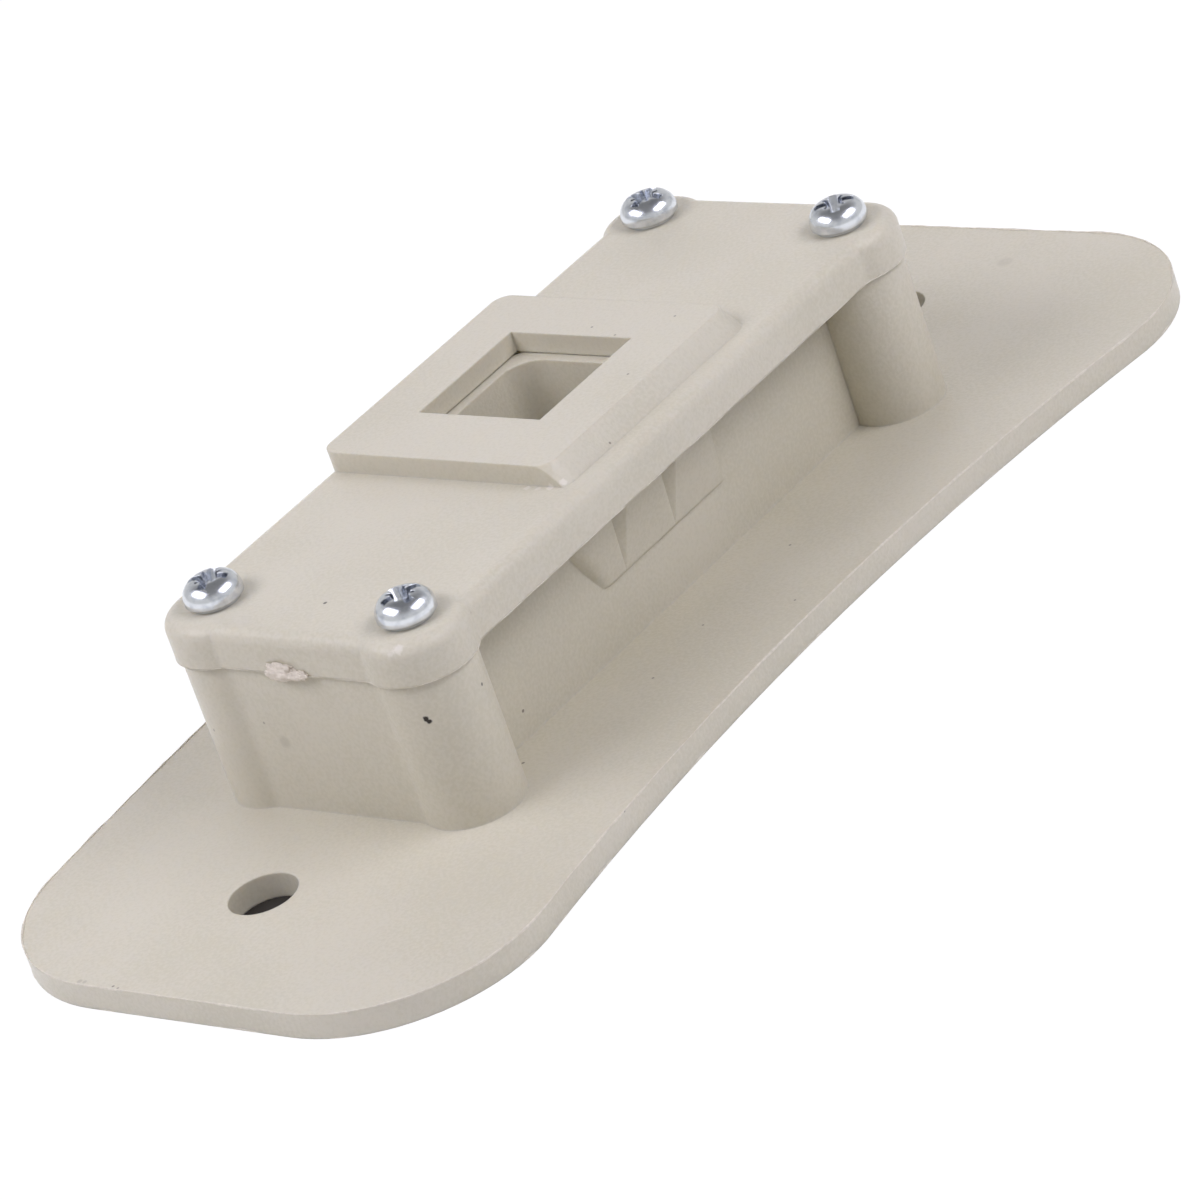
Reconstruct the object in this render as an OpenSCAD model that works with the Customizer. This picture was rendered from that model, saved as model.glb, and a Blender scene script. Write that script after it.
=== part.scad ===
// Dryer door catch, in millimetres. A long mounting plate carries a moulded housing with a screwed
// cover. The door's striker comes up through the plate into a square well, where two sprung jaws
// with rollers close on its neck. The origin is midway between the four cover screws, on the
// underside of the plate, with the plate's length along Y and +Z towards the cover.

/* [Plate] */
// Length of the plate along Y
plate_length = 133.8; // [128:1:150]
// Thickness of the plate
plate_thickness = 2.5; // [2:0.1:4]
// Reach of the plate to the right, at its corners
plate_reach_right = 30.1; // [28:0.1:34]
// Reach of the right edge at the waist
waist_reach = 26.1; // [25:0.1:27.5]
// Reach of the plate to the left, at its corners
plate_reach_left = 25.4; // [24:0.1:27.5]
// Reach of the left edge at its middle
bow_reach = 28.2; // [28:0.1:30]
// Radius of the two right-hand corners
corner_radius_right = 15.7; // [14:0.1:18]
// Radius of the two left-hand corners
corner_radius_left = 16; // [13:0.1:18]
// Distance between the two mounting holes
hole_spacing = 102.4; // [98:0.1:110]
// Diameter of the mounting holes
hole_diameter = 6.6; // [4:0.1:8]
// Place of the mounting holes across the plate
hole_offset = -0.5; // [-3:0.1:3]

/* [Housing] */
// Outer width of the housing
housing_width = 20.2; // [19.6:0.1:24]
// Outer length of the housing
housing_length = 77.2; // [74:0.2:84]
// Height of the housing above the plate
housing_height = 15.15; // [13.5:0.05:22]
// Thickness of the housing's side and end walls
housing_wall = 2; // [1.2:0.1:2.4]
// Diameter of the screw columns
column_diameter = 9.6; // [8:0.1:11]
// Radius of the hollow fillets between the columns and the end walls
column_fillet = 3; // [1:0.1:4]
// How far the screws lie outside the side walls
screw_outset = 1.4; // [0.6:0.1:3]
// How far the screws lie inside the ends
screw_inset = 4.1; // [3.5:0.1:5.5]
// Diameter of the pilot holes in the columns
pilot_diameter = 2.4; // [2:0.1:3]
// Depth of the pilot holes
pilot_depth = 14; // [13:0.5:15]

/* [Striker well] */
// Inner width of the square well
well_size = 12.5; // [12:0.1:13]
// Radius of the well's upright corners
well_corner = 3; // [1:0.1:4]
// Place of the well along the plate
well_y = 2.2; // [0:0.1:4]
// Thickness of the well's walls
well_wall = 1.7; // [1.2:0.1:2]
// Width of the sloping lead-in at the well's mouth
well_lead_in = 0.8; // [0.3:0.1:1.2]

/* [Fluted bulge] */
// Place of the bulge's near end on the right wall, at its lower edge
bulge_near = -10.4; // [-13:0.1:-9]
// Place of the bulge's far end, at its lower edge
bulge_far = 9.6; // [8:0.1:14]
// Height of the bulge's lower edge above the plate
bulge_bottom = 6.35; // [5:0.05:8]
// Step of the bulge at its lower edge
bulge_step = 0.35; // [0.2:0.05:0.8]
// Reach of the bulge beyond the wall at the housing's rim
bulge_reach = 2.2; // [1:0.1:2.6]
// Slant of the bulge's near end, in degrees
bulge_slant = 24; // [10:1:32]
// Radius of the rounding along the near end
bulge_round = 1.8; // [1:0.1:2.4]
// Number of lobes
lobe_count = 3; // [2:1:3]
// Distance between the lobes' far edges
lobe_pitch = 7.95; // [6:0.05:8.5]
// Slope of a lobe's far side, as its run for each mm of depth
lobe_far_run = 0.75; // [0.1:0.05:1]
// Slope of the next lobe's near side, as its run for each mm of depth
lobe_near_run = 1.15; // [1:0.05:1.6]

/* [Cover] */
// Height of the cover above the housing's rim
cover_height = 4.05; // [3.5:0.05:6]
// Overhang of the cover past the side walls
cover_overhang_side = 5.55; // [4:0.05:7]
// Overhang of the cover past the end walls
cover_overhang_end = 0.47; // [0.2:0.01:1.2]
// Overhang of the cover's ears past the columns
ear_overhang = 0.45; // [0.2:0.05:1]
// Radius of the hollow fillets beside the ears
ear_fillet = 1.5; // [0.5:0.1:3]
// Radius of the cover's upper edge
cover_edge = 1.25; // [0.4:0.05:1.6]
// Thickness of the cover's top
cover_top = 2; // [1.5:0.1:2.4]
// Thickness of the cover's skirt
cover_skirt = 1.8; // [1.2:0.1:2.2]
// Thickness of the lip that drops inside the walls
lip_thickness = 1.2; // [0.8:0.1:1.5]
// Depth of the lip below the rim
lip_depth = 1.5; // [0.8:0.1:2]
// Diameter of the screw holes in the cover
cover_hole_diameter = 3.2; // [3:0.1:3.6]

/* [Raised pad and window] */
// Length of the pad along the plate
pad_length = 28.7; // [26:0.1:34]
// Place of the pad along the plate
pad_y = 1.65; // [0.5:0.05:3]
// Reach of the pad's top to the right
pad_reach = 11.6; // [9:0.1:12.5]
// Run of the slope from the pad's top to its right-hand foot
pad_slope = 1.6; // [0.5:0.1:2]
// Height of the pad above the cover
pad_height = 2.1; // [1.5:0.1:3]
// Radius of the pad's upright corners
pad_corner = 1.6; // [0.5:0.1:2.2]
// Width of the square window in the pad
window_size = 14.6; // [14:0.1:15]
// Depth of the window down to the well's rim
window_depth = 2.2; // [1.6:0.1:2.6]

/* [Screws] */
// Diameter of the pan heads
head_diameter = 5.6; // [5.4:0.1:6.2]
// Height of the pan heads above the cover
head_height = 2.5; // [2.2:0.05:2.8]
// Radius of the heads' round shoulders
head_shoulder = 1.6; // [1:0.05:1.7]
// Chamfer round the heads' lower edge
head_chamfer = 0.2; // [0.1:0.05:0.4]
// Diameter of the flat collar under the heads
collar_diameter = 4.7; // [4:0.1:5]
// Height of the collar
collar_height = 0.3; // [0.1:0.05:0.4]
// Diameter of the screws' shank under the head
shank_diameter = 2.9; // [2.6:0.1:2.9]
// Length of the screws under the head
screw_length = 16; // [14:0.5:17]
// Width of the cross recess across its wings
recess_span = 4.1; // [3.4:0.1:4.4]
// Width of one wing of the cross recess
recess_width = 0.85; // [0.6:0.05:1]
// Depth of the cross recess
recess_depth = 1.75; // [1.2:0.1:1.8]
// Width of the four small notches between the wings
notch_width = 0.35; // [0.2:0.05:0.5]

/* [Jaws] */
// Width of the jaw's nose
nose_width = 9; // [8.4:0.1:9.4]
// Height of the jaws
jaw_height = 9; // [8.4:0.1:9.4]
// Gap between the two rollers at rest
roller_gap = 5; // [4.6:0.1:5.4]
// Diameter of the rollers
roller_diameter = 6; // [5.6:0.1:6.4]
// Length of the rollers
roller_length = 5; // [4.4:0.1:5.2]
// Diameter of the roller pins
pin_diameter = 2; // [1.6:0.1:2.2]
// Radius of the fork's tip round the pin
fork_tip = 2.5; // [2.3:0.1:2.7]
// How far the jaws open, each
jaw_travel = 3.2; // [2.8:0.1:3.4]
// Width of the jaw's shoulders
shoulder_width = 11.2; // [10.8:0.1:11.4]
// Length of the jaw's body behind the well's wall
jaw_body_length = 9; // [8.5:0.1:10]

/* [Springs] */
// Outer diameter of the springs
spring_diameter = 6.5; // [6:0.1:6.6]
// Diameter of the spring wire
wire_diameter = 0.8; // [0.6:0.05:0.9]
// Length of the springs as fitted
spring_length = 16; // [15:0.1:17]
// Turns of each spring
spring_turns = 8; // [6:1:9]
// Depth of the spring's seat in the jaw
spring_seat_depth = 6; // [5:0.1:6.5]
// Length of the peg that centres the spring
peg_length = 3; // [2:0.1:4]

/* [Clearances] */
// Gap on each side of a jaw in its guides
slide_clearance = 0.25; // [0.15:0.05:0.35]
// Gap between the shoulders and the well's wall at rest
stop_gap = 0.15; // [0.1:0.05:0.3]
// Gap under a jaw
floor_gap = 0.2; // [0.1:0.05:0.3]
// Gap on each side of a roller in the fork
roller_side_gap = 0.15; // [0.1:0.05:0.3]
// Gap all round a roller pin in the roller's bore
roller_running_gap = 0.05; // [0.02:0.01:0.1]
// Gap between the lip, the well's rim and what they enter
fit_clearance = 0.2; // [0.1:0.05:0.3]
// Gap all round a screw's core in its pilot hole
thread_gap = 0.05; // [0.02:0.01:0.1]

/* [Hidden] */
$fn = 72;
// Overlap that joins solids and cuts cleanly through faces
bite = 1;
// Step that lets two arcs cross instead of only touching
blend = 0.02;

// Heights above the underside of the plate
rim_z = plate_thickness + housing_height;
cover_z = rim_z + cover_height;
pad_z = cover_z + pad_height;
well_rim_z = pad_z - window_depth;
jaw_floor_z = plate_thickness + floor_gap;
jaw_axis_z = jaw_floor_z + jaw_height / 2;
jaw_top_z = jaw_floor_z + jaw_height;
slot_top_z = jaw_top_z + slide_clearance;

// Housing, screws and well across the plate
half_width = housing_width / 2;
half_length = housing_length / 2;
screw_x = half_width + screw_outset;
screw_y = half_length - screw_inset;
well_x = well_wall + well_size / 2 - half_width;
tower_size = well_size + 2 * well_wall;

// Cover
cover_half_width = half_width + cover_overhang_side;
cover_half_length = half_length + cover_overhang_end;
ear_radius = column_diameter / 2 + ear_overhang;
pocket_z = cover_z - cover_top;

// Jaws, measured outwards from the middle of the well
roller_u = roller_gap / 2 + roller_diameter / 2;
shoulder_u = tower_size / 2 + stop_gap;
jaw_back_u = shoulder_u + jaw_body_length;
spring_seat_u = jaw_back_u - spring_seat_depth;
abutment_u = spring_seat_u + spring_length;
abutment_thickness = housing_wall;
fork_gap = roller_length + 2 * roller_side_gap;
fork_root_u = roller_u + roller_diameter / 2 + 2 * roller_side_gap;
nose_root_u = shoulder_u - 1;
guide_x = shoulder_width / 2 + slide_clearance;
guide_thickness = 1.5;
guide_height = jaw_height / 2;
guide_end_u = jaw_back_u + jaw_travel;
seat_diameter = spring_diameter + 2 * slide_clearance;
peg_diameter = spring_diameter - 2 * wire_diameter - 2 * slide_clearance;

// Plate corners
right_centre = [plate_reach_right - corner_radius_right, plate_length / 2 - corner_radius_right];
left_centre = [corner_radius_left - plate_reach_left, plate_length / 2 - corner_radius_left];

// Radius of an arc that is level at x = reach on the X axis and touches a corner circle: a hollow
// waist outside the circle, or a bow round it
function side_arc_radius(reach, centre, radius) =
    let (rise = reach - centre.x)
    abs((rise * rise + centre.y * centre.y - radius * radius) / (2 * (radius - rise)));

// Point where a line from p touches a circle round c, on the side of the larger angle
function touch_point(c, radius, p) =
    let (v = p - c, turn = atan2(v.y, v.x) + acos(radius / norm(v)))
    c + radius * [cos(turn), sin(turn)];

module at_screws() {
    for (side = [-1, 1], end = [-1, 1])
        translate([side * screw_x, end * screw_y, 0])
            children();
}

module at_well() {
    translate([well_x, well_y, 0])
        children();
}

// Jaw frame: +Y points outwards from the middle of the well
module near_side() {
    at_well() mirror([0, 1, 0])
        children();
}

module far_side() {
    at_well()
        children();
}

module in_corners() {
    for (side = [0, 1], end = [0, 1])
        mirror([side, 0, 0]) mirror([0, end, 0])
            children();
}

// Hollow fillet between a circle round the origin and a wall along y = wall, where the circle
// stands proud of the wall
module hollow_corner(r, wall, fillet) {
    along = sqrt(max(0, (r + fillet) * (r + fillet) - (wall + fillet) * (wall + fillet)));
    if (r > wall)
        difference() {
            polygon([[along, wall - bite], [along, wall], [along, wall + fillet] * r / (r + fillet),
                     [0, wall - bite]]);
            translate([along, wall + fillet]) circle(r = fillet);
        }
}

module round_square(size, radius) {
    square([size.x, size.y - 2 * radius], center = true);
    square([size.x - 2 * radius, size.y], center = true);
    for (side = [-1, 1], end = [-1, 1])
        translate([side * (size.x / 2 - radius), end * (size.y / 2 - radius)])
            circle(r = radius);
}

// Block from z = 0 to height whose section across the profile's run has round upper edges
module round_topped_profile(width, height, radius) {
    translate([-width / 2, 0])
        square([width, height - radius]);
    translate([radius - width / 2, 0])
        square([width - 2 * radius, height]);
    for (side = [-1, 1])
        translate([side * (width / 2 - radius), height - radius])
            circle(r = radius);
}

// Plate
module plate_outline() {
    waist_radius = side_arc_radius(waist_reach, right_centre, corner_radius_right);
    bow_centre = [-left_centre.x, left_centre.y];
    bow_radius = side_arc_radius(bow_reach, bow_centre, corner_radius_left);
    waist_x = waist_reach + waist_radius;
    bow_x = bow_radius - bow_reach;
    // Unit directions from the corner centres to the points where the arcs touch the corners
    to_waist = [waist_x - right_centre.x, -right_centre.y] / norm([waist_x - right_centre.x, right_centre.y]);
    to_bow = [left_centre.x - bow_x, left_centre.y] / norm([left_centre.x - bow_x, left_centre.y]);
    right_touch = right_centre + corner_radius_right * to_waist;
    left_touch = left_centre + corner_radius_left * to_bow;
    difference() {
        union() {
            for (end = [-1, 1]) {
                translate([right_centre.x, end * right_centre.y])
                    circle(r = corner_radius_right);
                translate([left_centre.x, end * left_centre.y])
                    circle(r = corner_radius_left);
            }
            polygon([
                right_touch,
                right_centre + [0, corner_radius_right],
                left_centre + [0, corner_radius_left],
                left_touch,
                [left_touch.x, -left_touch.y],
                [left_centre.x, -left_centre.y - corner_radius_left],
                [right_centre.x, -right_centre.y - corner_radius_right],
                [right_touch.x, -right_touch.y]]);
            intersection() {
                translate([bow_x + blend, 0])
                    circle(r = bow_radius, $fn = 720);
                translate([-bow_reach - bite, -left_touch.y])
                    square([bow_reach + bite, 2 * left_touch.y]);
            }
        }
        translate([waist_x, 0])
            circle(r = waist_radius + blend, $fn = 720);
    }
}

// Housing
module tower_outline() {
    at_well() round_square([tower_size, tower_size], well_corner);
}

module housing_outline() {
    square([housing_width, housing_length], center = true);
    at_screws() circle(d = column_diameter);
    in_corners() translate([screw_x, screw_y]) mirror([1, 0])
        hollow_corner(column_diameter / 2, screw_inset, column_fillet);
}

module housing_cavity() {
    difference() {
        square([housing_width - 2 * housing_wall, housing_length - 2 * housing_wall], center = true);
        at_screws() circle(d = column_diameter);
        at_well() square(tower_size, center = true);
    }
}

module well_mouth() {
    top = well_lead_in;
    half = well_size / 2;
    slope = [[-half - top - bite, -bite], [half + top + bite, -bite], [half, top], [-half, top]];
    at_well() intersection() {
        rotate([90, 0, 0]) linear_extrude(3 * well_size, center = true) polygon(slope);
        rotate([90, 0, 90]) linear_extrude(3 * well_size, center = true) polygon(slope);
    }
}

// Lobes on the right wall, deeper towards the rim, with a slanting round near end
module bulge() {
    low_z = plate_thickness + bulge_bottom;
    tall = rim_z - low_z;
    lean = atan((bulge_reach - bulge_step) / tall);
    deep = bulge_reach + 2 * bite;
    wide = bulge_far - bulge_near;
    far = bulge_reach + bite;
    difference() {
        intersection() {
            rotate([90, 0, 0])
                linear_extrude(housing_length, center = true)
                    polygon([[half_width - bite, low_z], [half_width + bulge_step, low_z],
                             [half_width + bulge_reach, rim_z], [half_width - bite, rim_z]]);
            translate([half_width + bulge_step, bulge_near, low_z])
                rotate([0, lean, 0]) rotate([bulge_slant, 0, 0])
                    linear_extrude(4 * tall, center = true) {
                        translate([-deep, bulge_round]) square([deep, 2 * wide]);
                        translate([-deep, 0]) square([deep - bulge_round, bulge_round + bite]);
                        translate([-bulge_round, bulge_round]) circle(r = bulge_round);
                    }
        }
        for (i = [1 : lobe_count - 1])
            translate([half_width + bulge_step, bulge_far - i * lobe_pitch, low_z - bite])
                linear_extrude(tall + 2 * bite)
                    polygon([[0, 0], [1, -lobe_far_run] * far, [1, lobe_near_run] * far]);
        translate([half_width + bulge_step, bulge_far, low_z - bite])
            linear_extrude(tall + 2 * bite)
                polygon([[-1, lobe_far_run] * 2 * bite, [1, -lobe_far_run] * far,
                         [far, 2 * housing_length], [-2 * bite, 2 * housing_length]]);
    }
}

// Wall across the chamber behind a jaw, with the peg that centres the spring
module abutment() {
    translate([-well_x - half_width + housing_wall / 2, abutment_u, plate_thickness - bite])
        cube([housing_width - housing_wall, abutment_thickness, jaw_top_z - plate_thickness + bite]);
    translate([0, abutment_u + bite, jaw_axis_z])
        rotate([90, 0, 0]) cylinder(d = peg_diameter, h = peg_length + bite);
}

// Low rail that guides the jaw's right-hand side, from the well's wall
module guide() {
    translate([guide_x, tower_size / 2 - bite / 2, plate_thickness - bite])
        cube([guide_thickness, guide_end_u - tower_size / 2 + bite / 2, guide_height + bite]);
}

module base() color("#d9ccb9") {
    difference() {
        union() {
            linear_extrude(plate_thickness) plate_outline();
            linear_extrude(rim_z) difference() {
                housing_outline();
                housing_cavity();
            }
            linear_extrude(well_rim_z) tower_outline();
            bulge();
            for (half = [0, 1])
                at_well() mirror([0, half, 0]) {
                    abutment();
                    guide();
                }
        }
        at_well() translate([0, 0, -bite])
            linear_extrude(well_rim_z + 2 * bite) round_square([well_size, well_size], well_corner);
        well_mouth();
        at_well() translate([-nose_width / 2 - slide_clearance, -tower_size / 2 - bite / 4, plate_thickness])
            cube([nose_width + 2 * slide_clearance, tower_size + bite / 2, slot_top_z - plate_thickness]);
        at_screws() translate([0, 0, rim_z - pilot_depth])
            cylinder(d = pilot_diameter, h = pilot_depth + bite);
        for (end = [-1, 1])
            translate([hole_offset, end * hole_spacing / 2, -bite])
                cylinder(d = hole_diameter, h = plate_thickness + 2 * bite);
    }
}

// Cover
module cover_shell() {
    translate([0, 0, rim_z]) {
        rotate([90, 0, 0])
            linear_extrude(2 * screw_y, center = true)
                round_topped_profile(2 * cover_half_width, cover_height, cover_edge);
        rotate([90, 0, 90])
            linear_extrude(2 * screw_x, center = true)
                round_topped_profile(2 * cover_half_length, cover_height, cover_edge);
        linear_extrude(cover_height - cover_edge) in_corners() translate([screw_x, screw_y]) {
            mirror([1, 0]) hollow_corner(ear_radius, cover_half_length - screw_y, ear_fillet);
            rotate(-90) hollow_corner(ear_radius, cover_half_width - screw_x, ear_fillet);
        }
        at_screws() rotate_extrude() intersection() {
            round_topped_profile(2 * ear_radius, cover_height, cover_edge);
            square(2 * ear_radius);
        }
    }
}

// Pad with a sloping right-hand side that runs round its corners
module pad() {
    inner_length = pad_length - 2 * pad_corner;
    corner_x = pad_reach - pad_corner;
    translate([0, pad_y, 0]) {
        translate([(pad_reach - cover_half_width) / 2, 0, cover_z - bite])
            linear_extrude(pad_height + bite)
                round_square([pad_reach + cover_half_width, pad_length], pad_corner);
        intersection() {
            translate([corner_x - bite, -pad_length / 2, cover_z - bite / 2])
                cube([pad_corner + pad_slope + 2 * bite, pad_length, pad_height + bite / 2]);
            translate([corner_x, 0, cover_z]) {
                rotate([90, 0, 0])
                    linear_extrude(inner_length, center = true)
                        polygon([[0, -bite], [pad_corner + pad_slope, -bite], [pad_corner + pad_slope, 0],
                                 [pad_corner, pad_height], [0, pad_height]]);
                for (end = [-1, 1])
                    translate([0, end * inner_length / 2, 0]) {
                        cylinder(r1 = pad_corner + pad_slope, r2 = pad_corner, h = pad_height);
                        translate([0, 0, -bite])
                            cylinder(r = pad_corner + pad_slope, h = bite);
                    }
            }
        }
    }
}

module cover_lip() {
    outer = [housing_width, housing_length] - 2 * (housing_wall + fit_clearance) * [1, 1];
    translate([0, 0, rim_z - lip_depth])
        linear_extrude(lip_depth + bite / 2) difference() {
            square(outer, center = true);
            square(outer - 2 * lip_thickness * [1, 1], center = true);
            at_screws() circle(d = column_diameter + 2 * fit_clearance);
            at_well() square(tower_size + 2 * fit_clearance, center = true);
        }
}

module cover_pockets() {
    inner = [housing_width, housing_length] - 2 * (housing_wall + fit_clearance + lip_thickness) * [1, 1];
    side_width = cover_overhang_side - cover_skirt;
    depth = pocket_z - rim_z;
    translate([0, 0, rim_z - bite]) linear_extrude(depth + bite) {
        difference() {
            square(inner, center = true);
            at_screws() circle(r = ear_radius);
        }
        for (side = [-1, 1])
            translate([side * (half_width + side_width / 2), 0])
                square([side_width, 2 * (screw_y - ear_radius)], center = true);
    }
}

module cover() color("#ded2c0") {
    difference() {
        union() {
            difference() {
                union() {
                    cover_shell();
                    pad();
                }
                cover_pockets();
            }
            cover_lip();
        }
        // Room for the top of the well, then the window over it
        at_well() translate([0, 0, rim_z - lip_depth - bite])
            linear_extrude(well_rim_z - rim_z + lip_depth + bite + fit_clearance / 2)
                square(tower_size + 2 * fit_clearance, center = true);
        at_well() translate([0, 0, rim_z])
            linear_extrude(pad_z - rim_z + bite) square(window_size, center = true);
        at_screws() translate([0, 0, rim_z - bite])
            cylinder(d = cover_hole_diameter, h = cover_height + 2 * bite);
    }
}

// Screws
module screw(turn) color("#c9ccd0") {
    head_r = head_diameter / 2;
    core_r = pilot_diameter / 2 - thread_gap;
    translate([0, 0, cover_z]) difference() {
        union() {
            rotate_extrude() intersection() {
                polygon([[0, 0], [collar_diameter / 2, 0], [collar_diameter / 2, collar_height],
                         [head_r - head_chamfer, collar_height], [head_r, collar_height + head_chamfer],
                         [head_r, head_height + bite], [0, head_height + bite]]);
                round_topped_profile(head_diameter, head_height, head_shoulder);
            }
            translate([0, 0, -cover_height + thread_gap])
                cylinder(d = shank_diameter, h = cover_height - thread_gap + bite / 2);
            translate([0, 0, -screw_length])
                cylinder(r = core_r, h = screw_length);
        }
        rotate(turn) translate([0, 0, head_height - recess_depth]) intersection() {
            cylinder(d1 = recess_span / 2, d2 = recess_span, h = recess_depth + blend);
            union() {
                for (quarter = [0, 90])
                    rotate(quarter) {
                        translate([-recess_span, -recess_width / 2, 0])
                            cube([2 * recess_span, recess_width, recess_depth + bite]);
                        rotate(45) translate([-recess_span / 3, -notch_width / 2, recess_depth / 2])
                            cube([recess_span / 1.5, notch_width, recess_depth + bite]);
                    }
                cylinder(d1 = recess_width, d2 = 0.6 * recess_span, h = recess_depth + bite);
            }
        }
    }
}

module screw_near_left() translate([-screw_x, -screw_y, 0]) screw(20);
module screw_near_right() translate([screw_x, -screw_y, 0]) screw(65);
module screw_far_left() translate([-screw_x, screw_y, 0]) screw(5);
module screw_far_right() translate([screw_x, screw_y, 0]) screw(40);

// Jaws
module fork_profile() {
    axis = [roller_u, jaw_axis_z];
    top = [nose_root_u, jaw_top_z];
    upper = touch_point(axis, fork_tip, top);
    lower = [upper.x, 2 * jaw_axis_z - upper.y];
    translate(axis) circle(r = fork_tip + blend);
    polygon([upper, top, [shoulder_u + bite, jaw_top_z], [shoulder_u + bite, jaw_floor_z],
             [nose_root_u, jaw_floor_z], lower]);
}

module jaw() color("#efece4") {
    difference() {
        union() {
            rotate([90, 0, 90])
                linear_extrude(nose_width, center = true) fork_profile();
            translate([-shoulder_width / 2, shoulder_u, jaw_floor_z])
                cube([shoulder_width, jaw_body_length, jaw_height]);
        }
        translate([-fork_gap / 2, 0, jaw_floor_z - bite])
            cube([fork_gap, fork_root_u, jaw_height + 2 * bite]);
        translate([0, roller_u, jaw_axis_z]) rotate([0, 90, 0])
            cylinder(d = pin_diameter, h = nose_width + 2 * bite, center = true);
        translate([0, spring_seat_u, jaw_axis_z]) rotate([-90, 0, 0])
            cylinder(d = seat_diameter, h = spring_seat_depth + bite);
    }
}

module roller() color("#f4f3ee") {
    translate([0, roller_u, jaw_axis_z]) rotate([0, 90, 0]) difference() {
        cylinder(d = roller_diameter, h = roller_length, center = true);
        cylinder(d = pin_diameter + 2 * roller_running_gap, h = roller_length + 2 * bite, center = true);
    }
}

module pin() color("#b9bcc1") {
    translate([0, roller_u, jaw_axis_z]) rotate([0, 90, 0])
        cylinder(d = pin_diameter, h = nose_width, center = true);
}

// Compression spring with closed ends, swept round a helix
module spring() {
    sides = 8;
    steps = 16;
    wire_r = wire_diameter / 2;
    coil_r = spring_diameter / 2 - wire_r;
    closed_pitch = 1.06 * wire_diameter;
    open_pitch = (spring_length - wire_diameter - 2 * closed_pitch) / (spring_turns - 2);
    rings = spring_turns * steps;
    function height(turns) = wire_r + min(turns, 1) * closed_pitch
        + max(0, min(turns - 1, spring_turns - 2)) * open_pitch
        + max(0, turns - spring_turns + 1) * closed_pitch;
    points = [for (i = [0 : rings], j = [0 : sides - 1])
        let (turn = 360 * i / steps, around = 360 * (j + 0.5) / sides,
             r = coil_r + wire_r * cos(around))
        [r * cos(turn), r * sin(turn), height(i / steps) + wire_r * sin(around)]];
    walls = [for (i = [0 : rings - 1], j = [0 : sides - 1])
        let (a = i * sides + j, b = i * sides + (j + 1) % sides)
        [a, b, b + sides, a + sides]];
    ends = [[for (j = [sides - 1 : -1 : 0]) j], [for (j = [0 : sides - 1]) rings * sides + j]];
    color("#a9adb3")
        translate([0, spring_seat_u, jaw_axis_z]) rotate([-90, 0, 0])
            polyhedron(points, concat(walls, ends));
}

module jaw_near() near_side() jaw();
module jaw_far() far_side() jaw();
module roller_near() near_side() roller();
module roller_far() far_side() roller();
module pin_near() near_side() pin();
module pin_far() far_side() pin();
module spring_near() near_side() spring();
module spring_far() far_side() spring();

base();
cover();
screw_near_left();
screw_near_right();
screw_far_left();
screw_far_right();
jaw_near();
jaw_far();
roller_near();
roller_far();
pin_near();
pin_far();
spring_near();
spring_far();
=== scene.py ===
"""Dryer door catch, seen from its back: housing, screwed cover, striker well and mounting plate.

Everything is in metres, in the part's own frame: the origin lies midway between the four cover
screws on the underside of the plate, +Y runs along the plate and +Z towards the cover.
"""
import math

import bmesh
import bpy
from mathutils import Matrix, Vector, noise


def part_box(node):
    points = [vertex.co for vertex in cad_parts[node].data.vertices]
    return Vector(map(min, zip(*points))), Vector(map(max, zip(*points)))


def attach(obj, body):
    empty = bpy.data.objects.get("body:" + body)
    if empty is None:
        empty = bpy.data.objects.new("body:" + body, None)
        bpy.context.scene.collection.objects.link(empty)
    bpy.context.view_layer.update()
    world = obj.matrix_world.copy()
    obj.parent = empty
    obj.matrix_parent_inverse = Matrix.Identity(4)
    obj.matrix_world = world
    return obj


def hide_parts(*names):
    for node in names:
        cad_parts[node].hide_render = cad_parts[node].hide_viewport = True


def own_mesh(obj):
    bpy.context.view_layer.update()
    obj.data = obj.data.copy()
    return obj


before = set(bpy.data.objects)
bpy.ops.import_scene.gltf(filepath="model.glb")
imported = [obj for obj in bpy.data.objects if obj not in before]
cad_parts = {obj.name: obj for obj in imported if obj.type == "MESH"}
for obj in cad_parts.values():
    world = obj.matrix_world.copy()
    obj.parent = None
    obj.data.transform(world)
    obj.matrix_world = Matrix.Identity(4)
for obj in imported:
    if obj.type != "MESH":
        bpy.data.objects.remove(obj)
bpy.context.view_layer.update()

# Without a seed of its own, noise_vector gives another result in each run
noise.seed_set(1)

MM = 0.001

# Heights of the plate's two faces, and of the rim on which the cover sits
PLATE_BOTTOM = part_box("base")[0][2]
PLATE_TOP = PLATE_BOTTOM + 2.5 * MM
RIM_Z = PLATE_TOP + 15.15 * MM

# Springs behind the jaws: the wire's turns and diameter, and its points in one turn
SPRING_TURNS = 8
SPRING_WIRE = 0.8 * MM
POINTS_PER_TURN = 28

# Distance between the points of a bead of flash
BEAD_STEP = 0.45 * MM

# Sockets of a Mix node that mixes colours
MIX_FACTOR, MIX_FIRST, MIX_SECOND, MIX_RESULT = 0, 6, 7, 2


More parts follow.
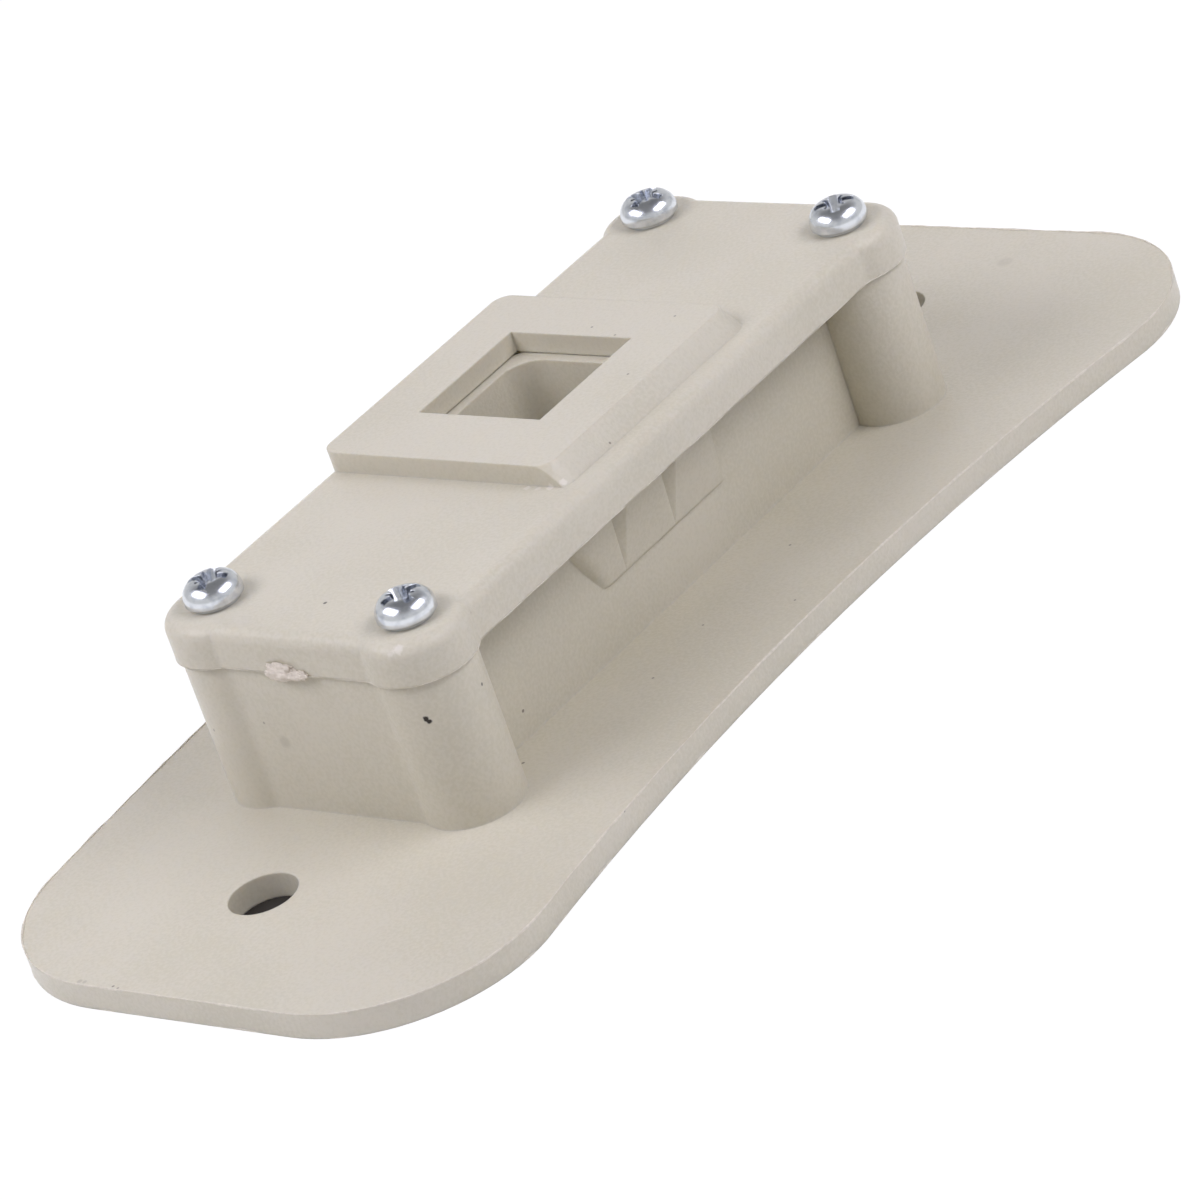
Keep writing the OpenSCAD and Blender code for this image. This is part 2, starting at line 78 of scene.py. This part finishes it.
class Field:
    """A socket that takes part in arithmetic: each operation adds a Math node."""

    def __init__(self, paint, socket):
        self.paint = paint
        self.socket = socket

    def math(self, operation, *values):
        node = self.paint.add("ShaderNodeMath", {"operation": operation}, [self, *values])
        return node.field("Value")

    def __add__(self, other):
        return self.math("ADD", other)

    def __radd__(self, other):
        return self.math("ADD", other)

    def __sub__(self, other):
        return self.math("SUBTRACT", other)

    def __rsub__(self, other):
        return (self * -1).math("ADD", other)

    def __mul__(self, other):
        return self.math("MULTIPLY", other)

    def __rmul__(self, other):
        return self.math("MULTIPLY", other)

    def at_most(self, other):
        return self.math("MINIMUM", other)

    def at_least(self, other):
        return self.math("MAXIMUM", other)

    def ramp(self, start, end, low=0.0, high=1.0):
        """Smooth change from low to high as the value goes from start to end."""
        node = self.paint.add("ShaderNodeMapRange", {"interpolation_type": "SMOOTHSTEP"},
                              [self, start, end, low, high])
        return node.field("Result")


class Node:
    """One shader node, whose outputs are read as fields."""

    def __init__(self, paint, node):
        self.paint = paint
        self.node = node

    def field(self, name):
        return Field(self.paint, self.node.outputs[name])


class Paint:
    """A material being made: its node tree, its shader and the pattern coordinates."""

    def __init__(self, name):
        self.material = bpy.data.materials.new(name)
        self.material.use_nodes = True
        self.tree = self.material.node_tree
        self.shader = self.tree.nodes["Principled BSDF"]
        self.place = self.add("ShaderNodeTexCoord").field("Object")

    def add(self, kind, settings=None, values=None):
        """Add a node. Its settings are set first, then its sockets' values or links."""
        node = self.tree.nodes.new(kind)
        for key, value in (settings or {}).items():
            setattr(node, key, value)
        pairs = values.items() if isinstance(values, dict) else enumerate(values or [])
        for key, value in pairs:
            self.join(node.inputs[key], value)
        return Node(self, node)

    def join(self, socket, value):
        if isinstance(value, Field):
            self.tree.links.new(value.socket, socket)
        else:
            socket.default_value = value

    def set(self, name, value):
        self.join(self.shader.inputs[name], value)

    def cloud(self, size, detail=2.0, rough=0.5, stretch=(1, 1, 1)):
        """Noise from 0 to 1 whose lumps are about size metres across."""
        where = self.place
        if stretch != (1, 1, 1):
            where = self.add("ShaderNodeMapping", None, {"Vector": where, "Scale": stretch}).field("Vector")
        node = self.add("ShaderNodeTexNoise", {"noise_dimensions": "3D"},
                        {"Vector": where, "Scale": 1 / size, "Detail": detail, "Roughness": rough})
        return node.field("Fac")

    def distance(self, point):
        """Distance in metres from a point."""
        return self.add("ShaderNodeVectorMath", {"operation": "DISTANCE"}, [self.place, point]).field("Value")

    def mix(self, factor, first, second):
        """Colour that goes from first to second with factor."""
        node = self.add("ShaderNodeMix", {"data_type": "RGBA"},
                        {MIX_FACTOR: factor, MIX_FIRST: first, MIX_SECOND: second})
        return node.field(MIX_RESULT)

    def bump(self, layers, edge=0.0):
        """Stack bump layers of (height, depth in metres), over edges rounded by the given radius."""
        normal = None
        if edge:
            normal = self.add("ShaderNodeBevel", {"samples": 6}, {"Radius": edge}).field("Normal")
        for height, depth in layers:
            node = self.add("ShaderNodeBump", None, {"Height": height, "Distance": depth, "Strength": 1.0})
            if normal is not None:
                self.join(node.node.inputs["Normal"], normal)
            normal = node.field("Normal")
        self.set("Normal", normal)


def linear(red, green, blue):
    """Scene colour of a shade given as screen values from 0 to 255."""
    return tuple((v / 255 / 12.92) if v <= 10 else (((v / 255) + 0.055) / 1.055) ** 2.4
                 for v in (red, green, blue)) + (1.0,)


# Marks in the plastic, and painted highlights: place and radius in mm, shade, and how strongly it shows
SOOT = (52, 47, 42)
GREY = (110, 100, 88)
# Pale shade of the painted highlights: glints and sheen painted onto the cover
PAINTED_HIGHLIGHT = (236, 230, 220)
BASE_MARKS = [
    ((13.68, -38.78, 14.08), 0.3, SOOT, 1.0),
    ((13.86, -38.67, 13.75), 0.26, SOOT, 1.0),
    ((16.17, -33.41, 14.47), 0.16, SOOT, 0.8),
    ((10.1, -24.13, 5.12), 0.17, GREY, 0.8),
    ((12.23, -28.32, 2.5), 0.16, GREY, 0.8),
    ((27.84, -33.66, 2.5), 0.14, GREY, 0.8),
    ((16.32, 8.98, 2.5), 0.14, GREY, 0.7),
    ((16.55, -13.72, 2.5), 0.14, GREY, 0.7),
    ((15.96, -4.87, 2.5), 0.13, GREY, 0.7),
    ((23.01, 0.26, 2.5), 0.13, GREY, 0.7),
    ((-6.71, -38.6, 11.7), 0.16, GREY, 0.45),
    ((-12.84, -39.1, 10.71), 0.16, GREY, 0.45),
    ((-4.97, -38.6, 9.83), 0.7, GREY, 0.16),
    ((6.94, 60.64, 2.5), 0.9, GREY, 0.12),
    ((-9.9, -66.4, 2.5), 0.3, GREY, 0.25),
    ((-9.3, -66.4, 2.5), 0.25, GREY, 0.25),
    ((-5.8, -66.45, 2.5), 0.15, GREY, 0.7),
    ((-5.1, -66.6, 2.5), 0.13, GREY, 0.6),
]
COVER_SPECKS_AND_GLINTS = [
    ((0.8, -33.46, 21.7), 0.2, SOOT, 0.8),
    ((7.32, 13.68, 23.8), 0.14, GREY, 0.7),
    ((-0.71, 11.07, 23.8), 0.14, GREY, 0.7),
    ((9.29, 3.37, 23.8), 0.14, GREY, 0.7),
    ((12.97, -5.44, 22.0), 0.14, GREY, 0.7),
    ((2.93, 9.89, 23.8), 0.14, GREY, 0.7),
    # Painted highlight: a sheen smear along the near foot of the pad on the cover
    ((8.87, -13.14, 21.7), 0.35, PAINTED_HIGHLIGHT, 0.5),
    ((10.1, -13.1, 21.7), 0.3, PAINTED_HIGHLIGHT, 0.4),
    ((11.38, -12.88, 21.7), 0.4, PAINTED_HIGHLIGHT, 0.5),
    ((12.63, -12.33, 22.07), 0.35, PAINTED_HIGHLIGHT, 0.5),
    # Painted highlights: glints on the cover's rounded top edge at the near ears
    ((13.1, -39.7, 21.3), 0.5, PAINTED_HIGHLIGHT, 0.4),
    ((13.6, -38.9, 21.35), 0.5, PAINTED_HIGHLIGHT, 0.45),
    ((-6.1, -44.6, 21.3), 0.5, PAINTED_HIGHLIGHT, 0.4),
    ((-5.7, -43.9, 21.35), 0.45, PAINTED_HIGHLIGHT, 0.4),
]


def putty_plastic(name, shade, specks_and_glints):
    """Semi-matte moulded plastic with faint flow clouds, a fine grain, specks on it, and painted highlights
    where a mark is pale.
    """
    paint = Paint(name)
    light = linear(*shade)
    warm = linear(shade[0] - 7, shade[1] - 7, shade[2] - 9)
    clouds = paint.cloud(18 * MM, detail=3.0)
    grain = paint.cloud(0.35 * MM, detail=2.0)
    mottle = (clouds.ramp(0.35, 0.7) * 0.35 + grain.ramp(0.3, 0.7) * 0.45).ramp(0.1, 0.8)
    color = paint.mix(mottle, light, warm)
    ragged = (grain - 0.5) * MM
    # Each mark is mixed into the base colour; the pale ones paint highlights into it
    for place, radius, tint, strength in specks_and_glints:
        away = paint.distance(tuple(v * MM for v in place)) + ragged * radius
        spread = away.ramp(radius * 1.15 * MM, radius * 0.6 * MM) * strength
        color = paint.mix(spread, color, linear(*tint))
    paint.set("Base Color", color)
    paint.set("Roughness", grain * 0.1 + clouds * 0.06 + 0.27)
    paint.set("Specular IOR Level", 0.25)
    paint.set("Subsurface Weight", 0.3)
    paint.set("Subsurface Scale", 1.0 * MM)
    paint.set("Subsurface Radius", (1.0, 0.8, 0.5))
    swell = paint.cloud(4 * MM, detail=1.0)
    paint.bump([(grain, 0.026 * MM), (swell, 0.03 * MM)], edge=0.25 * MM)
    return paint.material


def zinc_plate():
    """Bright zinc on a pressed screw head."""
    paint = Paint("bright_zinc")
    haze = paint.cloud(0.9 * MM, detail=2.0)
    bright, dull = linear(222, 225, 230), linear(200, 204, 212)
    paint.set("Base Color", paint.mix(haze.ramp(0.4, 0.75), bright, dull))
    paint.set("Roughness", haze * 0.12 + 0.17)
    paint.set("Metallic", 1.0)
    paint.bump([(haze, 0.006 * MM)], edge=0.1 * MM)
    return paint.material


def bright_steel(name, shade, rough):
    """Drawn or ground steel with fine lines."""
    paint = Paint(name)
    lines = paint.cloud(0.25 * MM, detail=2.0, stretch=(0.15, 1, 1))
    paint.set("Base Color", paint.mix(lines, linear(*shade), linear(*(v - 22 for v in shade))))
    paint.set("Roughness", lines * 0.15 + rough)
    paint.set("Metallic", 1.0)
    paint.bump([(lines, 0.004 * MM)])
    return paint.material


def slick_plastic(name, shade, rough):
    """Smooth unfilled plastic of the moving parts."""
    paint = Paint(name)
    clouds = paint.cloud(5 * MM, detail=3.0)
    paint.set("Base Color", paint.mix(clouds, linear(*shade), linear(*(v - 8 for v in shade))))
    paint.set("Roughness", clouds * 0.1 + rough)
    paint.bump([(paint.cloud(0.5 * MM), 0.006 * MM)], edge=0.15 * MM)
    return paint.material


def dress(nodes, material):
    """Give some of the part's own solids a material."""
    for name in nodes:
        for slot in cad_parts[name].material_slots:
            slot.material = material


PUTTY = (210, 204, 184)
dress(["base"], putty_plastic("putty_base", PUTTY, BASE_MARKS))
dress(["cover"], putty_plastic("putty_cover", PUTTY, COVER_SPECKS_AND_GLINTS))
dress([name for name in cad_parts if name.startswith("screw")], zinc_plate())
dress(["jaw_near", "jaw_far"], slick_plastic("jaw_plastic", (226, 223, 214), 0.42))
dress(["roller_near", "roller_far"], slick_plastic("roller_plastic", (238, 237, 232), 0.3))
dress(["pin_near", "pin_far"], bright_steel("ground_pin", (196, 198, 202), 0.2))


def torn_plastic(name, shade):
    """Whitened plastic where it was torn or squeezed thin."""
    paint = Paint(name)
    fibres = paint.cloud(0.5 * MM, detail=4.0, rough=0.65)
    dull = linear(*(v - 16 for v in shade))
    paint.set("Base Color", paint.mix(fibres.ramp(0.3, 0.7), dull, linear(*shade)))
    paint.set("Roughness", fibres * 0.2 + 0.5)
    paint.bump([(fibres, 0.08 * MM)])
    return paint.material


def settle(name, source, material, slot):
    """Link a finished mesh as a piece that rides on the housing."""
    piece = bpy.data.objects.new(name, source)
    bpy.context.scene.collection.objects.link(piece)
    source.materials.append(material)
    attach(piece, "housing")
    return piece


def gate_scar(lumps, seed):
    """Mesh of the ragged plastic where the runner was broken off. A lump is a centre and half sizes in mm."""
    form = bmesh.new()
    for centre, half in lumps:
        new = bmesh.ops.create_icosphere(form, subdivisions=5, radius=1)["verts"]
        for vert in new:
            away = vert.co.copy()
            lump = noise.fractal(away * 1.6 + Vector((seed, centre[0], 0)), 0.7, 2.1, 5)
            tear = noise.turbulence(away * 3.2 + Vector((centre[0], seed, 0)), 3, True)
            grown = Vector([a * h for a, h in zip(away, half)]) * (1 + 0.34 * lump - 0.3 * tear)
            vert.co = (Vector(centre) + grown) * MM
        bmesh.ops.smooth_vert(form, verts=new, factor=0.3, use_axis_x=True, use_axis_y=True, use_axis_z=True)
    for face in form.faces:
        face.smooth = True
    mesh = bpy.data.meshes.new("gate_scar")
    form.to_mesh(mesh)
    form.free()
    return mesh


def outer_ring(node, height):
    """A node's outline at one height: the ordered points of the ring of sharp edges that is longest in Y."""
    form = bmesh.new()
    form.from_mesh(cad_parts[node].data)
    bmesh.ops.remove_doubles(form, verts=form.verts, dist=0.002 * MM)
    follow = {}
    for edge in form.edges:
        tilts = [abs(face.normal.z) for face in edge.link_faces]
        at_height = all(abs(vert.co.z - height) < 0.01 * MM for vert in edge.verts)
        if at_height and len(tilts) == 2 and max(tilts) > 0.9 and min(tilts) < 0.3:
            for one, other in (edge.verts, reversed(edge.verts)):
                follow.setdefault(one.index, []).append(other.index)
    form.verts.ensure_lookup_table()
    rings, left = [], set(follow)
    while left:
        ring = [left.pop()]
        while True:
            onward = [index for index in follow[ring[-1]] if index in left]
            if not onward:
                break
            left.discard(onward[0])
            ring.append(onward[0])
        rings.append([form.verts[index].co.copy() for index in ring])
    form.free()
    return max(rings, key=lambda ring: max(spot.y for spot in ring) - min(spot.y for spot in ring))


def round_line(name, thick, resolution, count, closed=False):
    """Curve of count points that becomes a round bar, thick in radius, and its line of points."""
    curve = bpy.data.curves.new(name, "CURVE")
    curve.dimensions = "3D"
    curve.bevel_depth = thick
    curve.bevel_resolution = resolution
    curve.use_fill_caps = not closed
    line = curve.splines.new("POLY")
    line.points.add(count - 1)
    line.use_cyclic_u = closed
    return curve, line


def solid_mesh(curve):
    """Mesh of a curve's bar."""
    holder = bpy.data.objects.new(curve.name, curve)
    bpy.context.scene.collection.objects.link(holder)
    mesh = bpy.data.meshes.new_from_object(holder.evaluated_get(bpy.context.evaluated_depsgraph_get()))
    bpy.data.objects.remove(holder)
    return mesh


def flash_bead(name, points, thick, level, gust):
    """Mesh of a thin bead of moulding flash along a closed outline. Its radius is thick times level on
    average, and gust is how far that level wavers."""
    spots = []
    for here, there in zip(points, points[1:] + points[:1]):
        count = max(1, round((there - here).length / BEAD_STEP))
        spots += [here.lerp(there, i / count) for i in range(count)]
    curve, line = round_line(name, thick, 1, len(spots), closed=True)
    for point, spot in zip(line.points, spots):
        sway = noise.noise_vector(spot / (2.2 * MM)) * 0.45 * thick
        sway -= Vector((spot.x, spot.y * 0.2, 0)).normalized() * 0.5 * thick
        waver = gust * noise.noise(spot / (3.1 * MM)) + 0.4 * gust * noise.noise(spot / (0.8 * MM))
        point.radius = max(0.2, level + waver)
        height = max(spot.z + sway.z * 0.4, PLATE_BOTTOM + thick * point.radius)
        point.co = (spot.x + sway.x, spot.y + sway.y, height, 1)
    return solid_mesh(curve)


def coil_spring(name, node, moving_end, material):
    """Compression spring with closed ends that stands for a node's solid and spans its length along Y:
    moving_end is 1 where the jaw is at its +Y end, else -1."""
    low, high = (Vector(corner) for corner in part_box(node))
    middle = (low + high) / 2
    radius = (high.x - low.x - SPRING_WIRE) / 2
    span = high.y - low.y
    closed_pitch = 1.06 * SPRING_WIRE
    open_turns = SPRING_TURNS - 2
    open_pitch = (span - SPRING_WIRE - 2 * closed_pitch) / open_turns
    steps = POINTS_PER_TURN * SPRING_TURNS
    curve, line = round_line(name, SPRING_WIRE / 2, 2, steps + 1)
    for i, point in enumerate(line.points):
        turn = i * SPRING_TURNS / steps
        closed = min(turn, 1) + max(0, turn - open_turns - 1)
        opened = max(0, min(turn - 1, open_turns))
        run = SPRING_WIRE / 2 + closed_pitch * closed + open_pitch * opened
        angle = 2 * math.pi * turn
        point.co = (middle.x + radius * math.cos(angle), middle.y + moving_end * (span / 2 - run),
                    middle.z + radius * math.sin(angle), 1)
    mesh = solid_mesh(curve)
    for face in mesh.polygons:
        face.use_smooth = True
    piece = settle(name, mesh, material, "spring_steel")
    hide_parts(node)
    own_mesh(piece)


wire_steel = bright_steel("spring_wire", (168, 170, 175), 0.3)
coil_spring("coil_near", "spring_near", 1, wire_steel)
coil_spring("coil_far", "spring_far", -1, wire_steel)

main_lump = ((-1.25, -39.25, 17.92), (2.05, 0.5, 1.05))
side_lump = ((1.0, -39.2, 17.8), (0.8, 0.4, 0.45))
scar = gate_scar([main_lump, side_lump], 4.0)
settle("gate_scar", scar, torn_plastic("torn_plastic", (232, 222, 204)), "cover_plastic")
squeezed = torn_plastic("squeezed_plastic", (226, 219, 200))
for name, node, height, thick, level, gust, slot in [
        ("plate_flash_top", "base", PLATE_TOP, 0.12 * MM, 0.7, 0.7, "housing_plastic"),
        ("plate_flash_bottom", "base", PLATE_BOTTOM, 0.1 * MM, 0.25, 1.5, "housing_plastic"),
        ("cover_flash", "cover", RIM_Z, 0.07 * MM, 0.7, 0.7, "cover_plastic")]:
    settle(name, flash_bead(name, outer_ring(node, height), thick, level, gust), squeezed, slot)


# Camera: the photograph's viewpoint, fitted to the plate, the housing and the screws
VIEW_AZIMUTH = math.radians(45.063)
VIEW_ELEVATION = math.radians(25.340)
VIEW_ROLL = math.radians(19.311)
VIEW_TARGET = Vector((-0.449, 5.879, 10.78)) * MM
VIEW_DISTANCE = 615.75 * MM
FOCAL_PIXELS = 6630
FRAME_PIXELS = 1200
AXIS_PIXEL = (604.37, 476.26)
SENSOR_WIDTH = 36

# Tints of the lamps and of the room's light, and the spot that the lamps point at
WHITE = (1, 1, 1)
LAMP_TINT = (1.0, 0.99, 1.12)
ROOM_TINT = (1.0, 1.0, 1.22)
LAMP_TARGET = Vector((0, 0, 0.01))

# Sines of the elevations between which the mirrored backdrop darkens into the ceiling
CEILING_START, CEILING_FULL = 0.35, 0.85

# The floor's reach from the origin in metres, and its gap under the plate
FLOOR_REACH = 3
FLOOR_GAP = 0.02 * MM

# Half sizes of the painted shadow under the plate: a dark patch of floor colour where the plate's shade
# falls, seen only through its holes and the well
SHADOW_PATCH_HALF_WIDTH = 21 * MM
SHADOW_PATCH_HALF_LENGTH = 57 * MM
SHADOW_PATCH_BLUR = 1 * MM


def add_camera():
    back = Vector((math.sin(VIEW_AZIMUTH) * math.cos(VIEW_ELEVATION),
                   -math.cos(VIEW_AZIMUTH) * math.cos(VIEW_ELEVATION),
                   math.sin(VIEW_ELEVATION)))
    level = Vector((math.cos(VIEW_AZIMUTH), math.sin(VIEW_AZIMUTH), 0))
    upright = back.cross(level)
    right = math.cos(VIEW_ROLL) * level - math.sin(VIEW_ROLL) * upright
    up = math.sin(VIEW_ROLL) * level + math.cos(VIEW_ROLL) * upright
    data = bpy.data.cameras.new("photo_camera")
    data.sensor_width = SENSOR_WIDTH
    data.lens = FOCAL_PIXELS * SENSOR_WIDTH / FRAME_PIXELS
    data.shift_x = 0.5 - AXIS_PIXEL[0] / FRAME_PIXELS
    data.shift_y = AXIS_PIXEL[1] / FRAME_PIXELS - 0.5
    data.clip_start = 0.01
    data.clip_end = 10
    camera = bpy.data.objects.new("photo_camera", data)
    camera.matrix_world = (Matrix.Translation(VIEW_TARGET + back * VIEW_DISTANCE)
                           @ Matrix((right, up, back)).transposed().to_4x4())
    bpy.context.scene.collection.objects.link(camera)
    bpy.context.scene.camera = camera


def add_lamp(name, place, size, power, mirrored=True):
    """Soft light panel, whose size is its width and height in metres. Shiny faces show it if mirrored."""
    data = bpy.data.lights.new(name, "AREA")
    data.shape = "RECTANGLE"
    data.size, data.size_y = size
    data.energy = power
    data.color = LAMP_TINT
    lamp = bpy.data.objects.new(name, data)
    lamp.location = place
    lamp.rotation_euler = (LAMP_TARGET - place).to_track_quat("-Z", "Y").to_euler()
    lamp.visible_glossy = mirrored
    bpy.context.scene.collection.objects.link(lamp)


def seen_directly(paint):
    """1 for rays from the camera, a mirror or glass, else 0."""
    rays = paint.add("ShaderNodeLightPath")
    return (rays.field("Is Camera Ray") + rays.field("Is Glossy Ray")
            + rays.field("Is Transmission Ray")).at_most(1)


def add_floor():
    """White paper that keeps the object's shadow, with shadow painted dark on it under the object."""
    mesh = bpy.data.meshes.new("floor")
    form = bmesh.new()
    bmesh.ops.create_grid(form, x_segments=1, y_segments=1, size=FLOOR_REACH)
    bmesh.ops.translate(form, verts=form.verts, vec=(0, 0, PLATE_BOTTOM - FLOOR_GAP))
    form.to_mesh(mesh)
    form.free()
    floor = bpy.data.objects.new("floor", mesh)
    bpy.context.scene.collection.objects.link(floor)
    paint = Paint("white_paper")
    paint.set("Roughness", 0.9)
    paint.set("Specular IOR Level", 0.1)
    spot = paint.add("ShaderNodeSeparateXYZ", None, [paint.place])
    across = spot.field("X").math("ABSOLUTE").ramp(SHADOW_PATCH_HALF_WIDTH, SHADOW_PATCH_HALF_WIDTH + SHADOW_PATCH_BLUR)
    along = spot.field("Y").math("ABSOLUTE").ramp(SHADOW_PATCH_HALF_LENGTH, SHADOW_PATCH_HALF_LENGTH + SHADOW_PATCH_BLUR)
    clear = across.at_least(along)
    # Painted shadow: the floor's colour is near black where it lies under the plate
    paint.set("Base Color", paint.mix(clear, (0.05, 0.045, 0.038, 1), (0.9, 0.9, 0.9, 1)))
    glow = paint.add("ShaderNodeEmission", None, {"Color": (*WHITE, 1), "Strength": 1.06})
    blend = paint.add("ShaderNodeMixShader", None, [seen_directly(paint) * clear * 0.88])
    paint.tree.links.new(paint.shader.outputs["BSDF"], blend.node.inputs[1])
    paint.tree.links.new(glow.node.outputs["Emission"], blend.node.inputs[2])
    paint.tree.links.new(blend.node.outputs["Shader"], paint.tree.nodes["Material Output"].inputs["Surface"])
    mesh.materials.append(paint.material)


def add_world(strength, backdrop, ceiling):
    """Even light from all round. Shiny faces mirror a backdrop that darkens towards the ceiling, and the
    camera sees white."""
    world = bpy.data.worlds.new("studio")
    world.use_nodes = True
    tree = world.node_tree
    tree.nodes.clear()
    rays = tree.nodes.new("ShaderNodeLightPath")
    direction = tree.nodes.new("ShaderNodeSeparateXYZ")
    tree.links.new(tree.nodes.new("ShaderNodeTexCoord").outputs["Generated"], direction.inputs[0])
    shade = tree.nodes.new("ShaderNodeMapRange")
    shade.interpolation_type = "SMOOTHSTEP"
    for name, value in {"From Min": CEILING_START, "From Max": CEILING_FULL,
                        "To Min": backdrop, "To Max": ceiling}.items():
        shade.inputs[name].default_value = value
    tree.links.new(direction.outputs["Z"], shade.inputs["Value"])

    def sky(color, level):
        """Sky of one colour. Its level is a number or a socket."""
        node = tree.nodes.new("ShaderNodeBackground")
        node.inputs["Color"].default_value = (*color, 1)
        if isinstance(level, float):
            node.inputs["Strength"].default_value = level
        else:
            tree.links.new(level, node.inputs["Strength"])
        return node.outputs["Background"]

    def pick(ray, usual, special):
        """The special sky for rays of one kind, and the usual one for the others."""
        mix = tree.nodes.new("ShaderNodeMixShader")
        for socket, source in zip(mix.inputs, (rays.outputs[ray], usual, special)):
            tree.links.new(source, socket)
        return mix.outputs["Shader"]

    room = pick("Is Glossy Ray", sky(ROOM_TINT, strength), sky(WHITE, shade.outputs["Result"]))
    output = tree.nodes.new("ShaderNodeOutputWorld")
    tree.links.new(pick("Is Camera Ray", room, sky(WHITE, 1.0)), output.inputs["Surface"])
    bpy.context.scene.world = world


def around(azimuth, elevation, distance):
    """Place seen from the origin at an azimuth, where 0 is -Y and 90 is +X, and an elevation, in degrees."""
    turn, rise = math.radians(azimuth), math.radians(elevation)
    level = math.cos(rise)
    return Vector((math.sin(turn) * level, -math.cos(turn) * level, math.sin(rise))) * distance


add_camera()
add_floor()
add_world(0.23, 0.68, 0.22)
add_lamp("left_softbox", around(-32, 46, 0.5), (0.4, 0.21), 1.24)
add_lamp("right_softbox", around(109, 46, 0.5), (0.4, 0.21), 1.3)
add_lamp("near_panel", around(0, 68, 1.0), (0.7, 0.7), 0.72, mirrored=False)
add_lamp("back_panel", around(225, 16, 1.0), (1.0, 0.4), 3.15, mirrored=False)
bpy.context.scene.view_settings.view_transform = "Standard"
